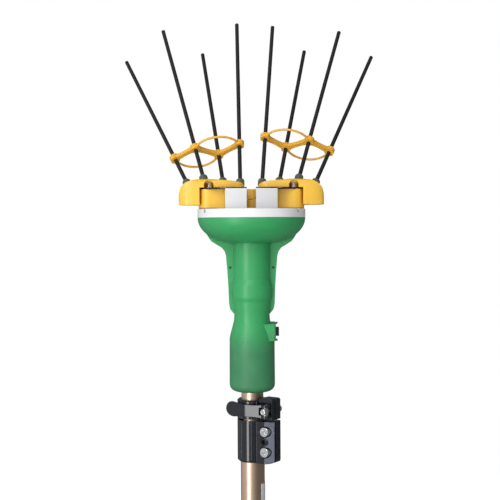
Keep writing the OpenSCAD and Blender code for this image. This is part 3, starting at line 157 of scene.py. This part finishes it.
class Nodes:
    """The nodes of a material or of the world, each made and fed by one call."""

    def __init__(self, owner):
        owner.use_nodes = True
        self.tree = owner.node_tree

    def feed(self, node, sockets):
        """Give a node's inputs, by name or number, their values or the outputs that they follow."""
        for socket, value in sockets.items():
            if isinstance(value, bpy.types.NodeSocket):
                self.tree.links.new(value, node.inputs[socket])
            else:
                node.inputs[socket].default_value = value

    def make(self, kind, output, sockets=None, **settings):
        """Add a node, set it, feed it, and return one of its outputs."""
        node = self.tree.nodes.new(kind)
        for key, value in settings.items():
            setattr(node, key, value)
        self.feed(node, sockets or {})
        return node.outputs[output]

    def remap(self, value, source=(0, 1), target=(0, 1), **settings):
        """A value carried from one range to another and held at its ends."""
        sockets = {"Value": value, "From Min": source[0], "From Max": source[1],
                   "To Min": target[0], "To Max": target[1]}
        return self.make("ShaderNodeMapRange", "Result", sockets, **settings)

    def dot(self, first, second):
        return self.make("ShaderNodeVectorMath", "Value", {0: first, 1: second}, operation="DOT_PRODUCT")

    def either(self, factor, first, second):
        """The first shader where the factor is 0, the second where it is 1."""
        return self.make("ShaderNodeMixShader", "Shader", {"Fac": factor, 1: first, 2: second})

    def camera_ray(self):
        return self.make("ShaderNodeLightPath", "Is Camera Ray")


def make_world():
    """White to the camera; to all else a soft room, bright at its left front and dim at its right."""
    world = bpy.data.worlds.new("studio")
    bpy.context.scene.world = world
    nodes = Nodes(world)
    nodes.tree.nodes.clear()
    way = nodes.make("ShaderNodeTexCoord", "Generated")
    turn = nodes.dot(way, ROOM_BRIGHT_SIDE)
    level = nodes.remap(turn, ROOM_RISE, ROOM_LEVELS, interpolation_type="SMOOTHSTEP")
    room = nodes.make("ShaderNodeBackground", "Background", {"Color": ROOM_COLOUR, "Strength": level})
    seen = nodes.make("ShaderNodeBackground", "Background", {"Color": WHITE, "Strength": 1})
    out = nodes.tree.nodes.new("ShaderNodeOutputWorld")
    nodes.feed(out, {"Surface": nodes.either(nodes.camera_ray(), room, seen)})


def floor_material():
    """Matt and pale; the camera sees it lifted and faded to white, and sees through it from below."""
    material = bpy.data.materials.new("floor")
    nodes = Nodes(material)
    nodes.tree.nodes.clear()
    matt = nodes.make("ShaderNodeBsdfDiffuse", "BSDF", {"Color": FLOOR_COLOUR})
    glow = nodes.make("ShaderNodeEmission", "Emission", {"Strength": FLOOR_GLOW})
    lifted = nodes.make("ShaderNodeAddShader", "Shader", {0: matt, 1: glow})
    white = nodes.make("ShaderNodeEmission", "Emission", {"Strength": 1})
    place = nodes.make("ShaderNodeTexCoord", "Object")
    away = nodes.make("ShaderNodeVectorMath", "Value", {0: place}, operation="LENGTH")
    faded = nodes.either(nodes.remap(away, FLOOR_FADE), lifted, white)
    above = nodes.either(nodes.camera_ray(), matt, faded)
    clear = nodes.make("ShaderNodeBsdfTransparent", "BSDF")
    under = nodes.make("ShaderNodeNewGeometry", "Backfacing")
    out = nodes.tree.nodes.new("ShaderNodeOutputMaterial")
    nodes.feed(out, {"Surface": nodes.either(under, above, clear)})
    return material


def make_floor():
    """A disc under the pole's end that keeps the object's shadow."""
    mesh = bpy.data.meshes.new("floor")
    shape = bmesh.new()
    bmesh.ops.create_circle(shape, cap_ends=True, radius=FLOOR_RADIUS, segments=FLOOR_SIDES)
    shape.to_mesh(mesh)
    shape.free()
    mesh.materials.append(floor_material())
    floor = bpy.data.objects.new("floor", mesh)
    floor.location = (0, 0, -FLOOR_DROP)
    floor.visible_glossy = False
    bpy.context.collection.objects.link(floor)


class Shader(Nodes):
    """A material's nodes, which end in its Principled BSDF."""

    def __init__(self, name):
        self.material = bpy.data.materials.new(name)
        super().__init__(self.material)
        self.surface = self.tree.nodes["Principled BSDF"]
        self.place = self.make("ShaderNodeTexCoord", "Object")

    def stretched(self, scale):
        return self.make("ShaderNodeMapping", "Vector", {"Vector": self.place, "Scale": scale})

    def noise(self, scale, detail, vector=None):
        sockets = {"Vector": vector or self.place, "Scale": scale, "Detail": detail}
        return self.make("ShaderNodeTexNoise", "Fac", sockets)

    def ramp(self, factor, low, high):
        """Black up to one value, white from another."""
        node = self.tree.nodes.new("ShaderNodeValToRGB")
        black, white = node.color_ramp.elements
        black.position, white.position = low, high
        self.feed(node, {"Fac": factor})
        return node.outputs["Color"]

    def mix(self, factor, first, second, kind="RGBA"):
        """A colour between two, or with FLOAT a number between two."""
        sockets = {"Factor": factor, "A": first, "B": second}
        return self.make("ShaderNodeMix", "Result", sockets, data_type=kind)

    def times(self, first, second):
        return self.make("ShaderNodeMath", "Value", {0: first, 1: second}, operation="MULTIPLY")

    def rounded(self, radius):
        return self.make("ShaderNodeBevel", "Normal", {"Radius": radius}, samples=EDGE_RAYS)

    def normal(self):
        return self.make("ShaderNodeNewGeometry", "Normal")

    def edges(self, radius):
        """1 along the edges that a bevel of this radius would round, 0 on open faces."""
        return self.remap(self.dot(self.rounded(radius), self.normal()), EDGE_WEAR)

    def corners(self):
        """Mask of painted shade: 1 far into a corner or a gap, 0 on open faces."""
        reach = {"Distance": CORNER_REACH}
        near = self.make("ShaderNodeAmbientOcclusion", "AO", reach, samples=CORNER_RAYS)
        return self.remap(near, CORNER_SHADE)

    def within(self, low, high, soft):
        """1 between two heights and 0 beyond them, with soft ends."""
        height = self.make("ShaderNodeSeparateXYZ", "Z", {"Vector": self.place})
        return self.times(self.remap(height, (low, low + soft)), self.remap(height, (high, high - soft)))

    def facing(self, way):
        """1 on the faces whose outward normal points this way, 0 elsewhere."""
        return self.remap(self.dot(self.normal(), Vector(way).normalized()), PAD_NEARNESS)

    def bump(self, height, distance, strength, normal=None):
        sockets = {"Height": height, "Distance": distance, "Strength": strength}
        if normal:
            sockets["Normal"] = normal
        return self.make("ShaderNodeBump", "Normal", sockets)

    def finish(self, colour, roughness, normal, **others):
        """Feed the surface; others are its further inputs, with _ for each space in their names."""
        sockets = {"Base Color": colour, "Roughness": roughness, "Normal": normal}
        for key, value in others.items():
            sockets[key.replace("_", " ")] = value
        self.feed(self.surface, sockets)
        return self.material


def shade(colour, factor=1):
    """A colour made darker or lighter, with its alpha."""
    return tuple(min(1, part * factor) for part in colour) + (1,)


def moulded_plastic(name, colour, roughness, radius=0.0006, edge=1.25, spread=0.08, shade_in_corners=None, zone=None):
    """Moulded plastic: slow drift of its colour, fine spark-eroded grain, worn, lighter edges and painted
    shade in its corners.

    radius is that of its edges, edge how much lighter they are, spread how far its colour drifts, its
    corner colour that of the painted shade in its corners and gaps, and zone a stretch of its height with a
    colour, roughness and grain of its own, which on the white plate's blocks is a grey of painted shade.
    """
    s = Shader(name)
    body = s.mix(s.noise(scale=14, detail=3), shade(colour, 1 - spread), shade(colour, 1 + spread))
    speck = s.ramp(s.noise(scale=900, detail=2), low=0.62, high=0.8)
    body = s.mix(speck, body, shade(colour, 1 + 2 * spread))
    rough = s.remap(s.noise(scale=60, detail=4), target=(roughness - 0.05, roughness + 0.07))
    grain = PLASTIC_GRAIN
    # The zone's colour: on the grip a darker green, on the white plate's blocks a grey that paints their
    # shade
    if zone:
        inside = s.within(zone["low"], zone["high"], zone["soft"])
        darker, lighter = shade(zone["colour"], 1 - 2 * spread), shade(zone["colour"], 1 + 2 * spread)
        cloud = s.mix(s.noise(scale=45, detail=5), darker, lighter)
        body = s.mix(inside, body, cloud)
        rough = s.mix(inside, rough, zone["roughness"], "FLOAT")
        grain = s.mix(inside, grain, zone["grain"], "FLOAT")
    body = s.mix(s.edges(radius), body, shade(colour, edge))
    # Painted shade: corners and gaps darkened towards the corner colour
    if shade_in_corners:
        body = s.mix(s.corners(), body, shade(shade_in_corners))
    spark = s.noise(scale=1500, detail=3)
    normal = s.bump(spark, grain, strength=0.6, normal=s.rounded(radius))
    return s.finish(body, rough, normal)


def drawn_metal(name, colour, roughness, lines):
    """Metal with fine lines and a little stain; lines is how fast they change along x, y and z."""
    s = Shader(name)
    drawn = s.noise(scale=2200, detail=3, vector=s.stretched(lines))
    body = s.mix(s.noise(scale=25, detail=4), shade(colour, 0.88), shade(colour, 1.08))
    body = s.mix(s.ramp(drawn, low=0.35, high=0.75), body, shade(colour, 0.9))
    rough = s.remap(drawn, target=(roughness - 0.06, roughness + 0.08))
    normal = s.bump(drawn, METAL_GRAIN, strength=0.5, normal=s.rounded(METAL_EDGE))
    return s.finish(body, rough, normal, Metallic=1)


def coated_metal(name, colour, roughness, worn, radius=METAL_EDGE, ior=1.5, satin=None):
    """Dark coat on cast metal: a faint orange peel, with bare metal showing on the sharpest edges.

    worn is the bare metal's colour, and satin the faces that are cut: the way that they face, their
    colour and their roughness.
    """
    s = Shader(name)
    body = s.mix(s.noise(scale=40, detail=3), shade(colour, 0.8), shade(colour, 1.25))
    rough = s.remap(s.noise(scale=120, detail=3), target=(roughness - 0.02, roughness + 0.04))
    if satin:
        cut = s.facing(satin["way"])
        brushed = s.noise(scale=800, detail=3, vector=s.stretched((1, 1, 0.05)))
        body = s.mix(cut, body, s.mix(brushed, shade(satin["colour"], 0.9), shade(satin["colour"], 1.1)))
        rough = s.mix(cut, rough, satin["roughness"], "FLOAT")
    chips = s.times(s.edges(radius), s.remap(s.noise(scale=350, detail=3), target=(0.1, 0.7)))
    body = s.mix(chips, body, shade(worn))
    peel = s.noise(scale=700, detail=2)
    normal = s.bump(peel, METAL_GRAIN, strength=0.5, normal=s.rounded(radius))
    return s.finish(body, rough, normal, IOR=ior)


def rubber(name, colour):
    """Dull rubber with dust in its pores."""
    s = Shader(name)
    body = s.mix(s.noise(scale=220, detail=4), shade(colour, 0.85), shade(colour, 1.15))
    dust = s.remap(s.ramp(s.noise(scale=70, detail=5), low=0.5, high=0.8), target=(0, 0.25))
    body = s.mix(dust, body, shade(colour, 1.8))
    rough = s.remap(s.noise(scale=300, detail=2), target=(0.5, 0.7))
    pores = s.noise(scale=1800, detail=3)
    normal = s.bump(pores, RUBBER_GRAIN, strength=0.7, normal=s.rounded(RUBBER_EDGE))
    return s.finish(body, rough, normal)


def pultruded_rod(name, colour):
    """Dark rod with a faint cloud in its resin and a satin skin."""
    s = Shader(name)
    cloud = s.noise(scale=35, detail=2)
    body = s.mix(cloud, shade(colour, 0.9), shade(colour, 1.1))
    rough = s.remap(cloud, target=(0.46, 0.56))
    normal = s.bump(s.noise(scale=500, detail=1), ROD_GRAIN, strength=0.5)
    return s.finish(body, rough, normal, Specular_IOR_Level=0.25)


def make_materials():
    kinds = ((moulded_plastic, PLASTICS), (drawn_metal, METALS), (coated_metal, COATED),
             (rubber, RUBBERS), (pultruded_rod, RODS))
    return {name: maker(name, **look) for maker, looks in kinds for name, look in looks.items()}


def dress(materials):
    """Every CAD node gets its slot's material, and the thin links a finer grade of theirs."""
    for part in frame["record"]["subparts"]:
        node = frame["nodes"][part["node"]]
        grade = "amber_link" if part["node"].endswith("_link") else part["material_slot"]
        for slot in node.material_slots:
            slot.material = materials[grade]


make_camera()
make_world()
for lamp in LAMPS:
    make_lamp(*lamp)
make_floor()
dress(make_materials())
bpy.context.scene.view_settings.view_transform = "Standard"
